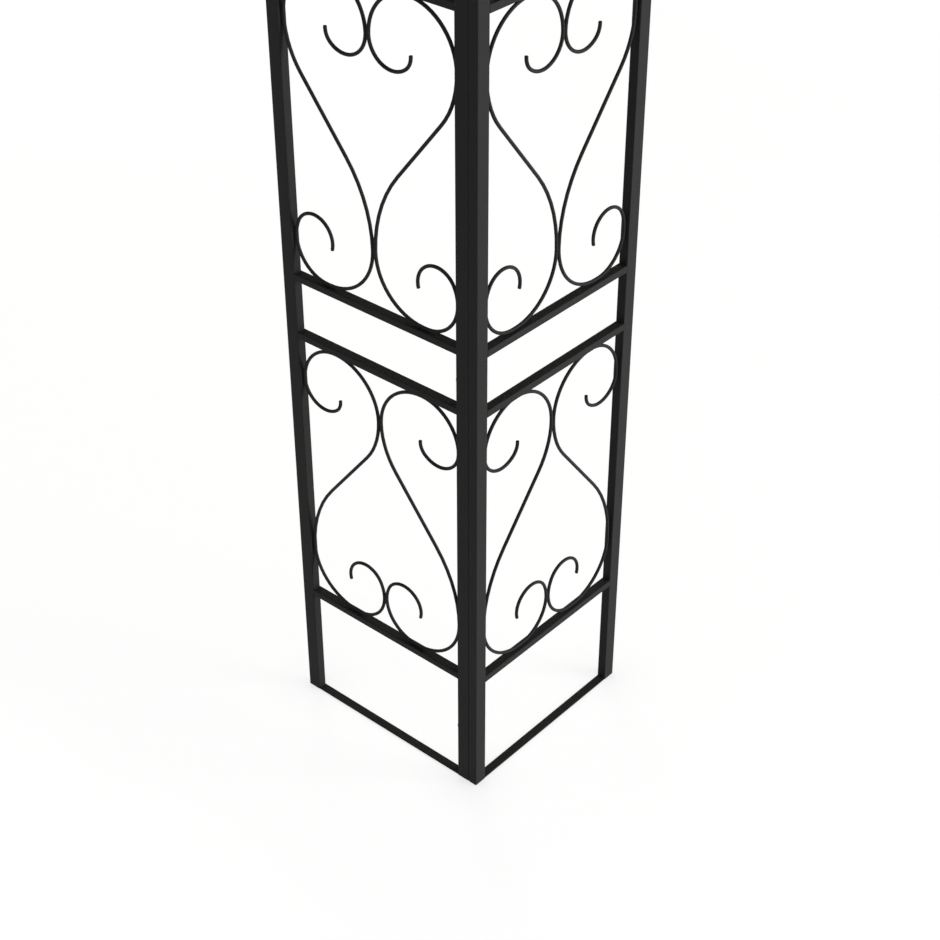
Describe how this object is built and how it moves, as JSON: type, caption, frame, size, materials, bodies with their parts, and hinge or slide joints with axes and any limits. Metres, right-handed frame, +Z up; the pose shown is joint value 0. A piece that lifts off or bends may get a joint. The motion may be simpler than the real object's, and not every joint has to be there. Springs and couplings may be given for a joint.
{
  "type": "gazebo",
  "caption": "Open garden gazebo on black steel corner legs with scrollwork panels, a hipped tube roof frame and a vented fabric canopy with a valance.",
  "frame": {"origin": "on the ground, at the middle of the plan", "axes": "+X along the longer side, +Y along the shorter side towards the back, +Z up"},
  "size_m": [4.08, 3.08, 2.6964],
  "materials": {
    "frame_steel": "satin black powder coat",
    "fastener_steel": "black zinc plating",
    "plug_plastic": "moulded matte black",
    "canopy_fabric": "matte woven polyester"
  },
  "bodies": {
    "root": {"back_beam_far": "frame_steel", "back_beam_near": "frame_steel", "back_left_first_corner_post": "frame_steel", "back_left_first_end_post": "frame_steel", "back_left_first_rails": "frame_steel", "back_left_first_scrolls": "frame_steel", "back_left_hip_rafter": "frame_steel", "back_left_second_corner_post": "frame_steel", "back_left_second_end_post": "frame_steel", "back_left_second_rails": "frame_steel", "back_left_second_scrolls": "frame_steel", "back_right_first_corner_post": "frame_steel", "back_right_first_end_post": "frame_steel", "back_right_first_rails": "frame_steel", "back_right_first_scrolls": "frame_steel", "back_right_hip_rafter": "frame_steel", "back_right_second_corner_post": "frame_steel", "back_right_second_end_post": "frame_steel", "back_right_second_rails": "frame_steel", "back_right_second_scrolls": "frame_steel", "beam_sleeves": "frame_steel", "corner_plates": "frame_steel", "foot_plugs": "plug_plastic", "front_beam_far": "frame_steel", "front_beam_near": "frame_steel", "front_left_first_corner_post": "frame_steel", "front_left_first_end_post": "frame_steel", "front_left_first_rails": "frame_steel", "front_left_first_scrolls": "frame_steel", "front_left_hip_rafter": "frame_steel", "front_left_second_corner_post": "frame_steel", "front_left_second_end_post": "frame_steel", "front_left_second_rails": "frame_steel", "front_left_second_scrolls": "frame_steel", "front_right_first_corner_post": "frame_steel", "front_right_first_end_post": "frame_steel", "front_right_first_rails": "frame_steel", "front_right_first_scrolls": "frame_steel", "front_right_hip_rafter": "frame_steel", "front_right_second_corner_post": "frame_steel", "front_right_second_end_post": "frame_steel", "front_right_second_rails": "frame_steel", "front_right_second_scrolls": "frame_steel", "left_beam_far": "frame_steel", "left_beam_near": "frame_steel", "leg_bolts": "fastener_steel", "leg_rivet_nuts": "fastener_steel", "main_canopy": "canopy_fabric", "main_valance": "canopy_fabric", "ridge_connectors": "frame_steel", "ridge_tube": "frame_steel", "right_beam_far": "frame_steel", "right_beam_near": "frame_steel", "roof_screws": "fastener_steel", "vent_brackets": "frame_steel", "vent_canopy": "canopy_fabric", "vent_frame": "frame_steel", "vent_rafters": "frame_steel"}
  },
  "joints": []
}
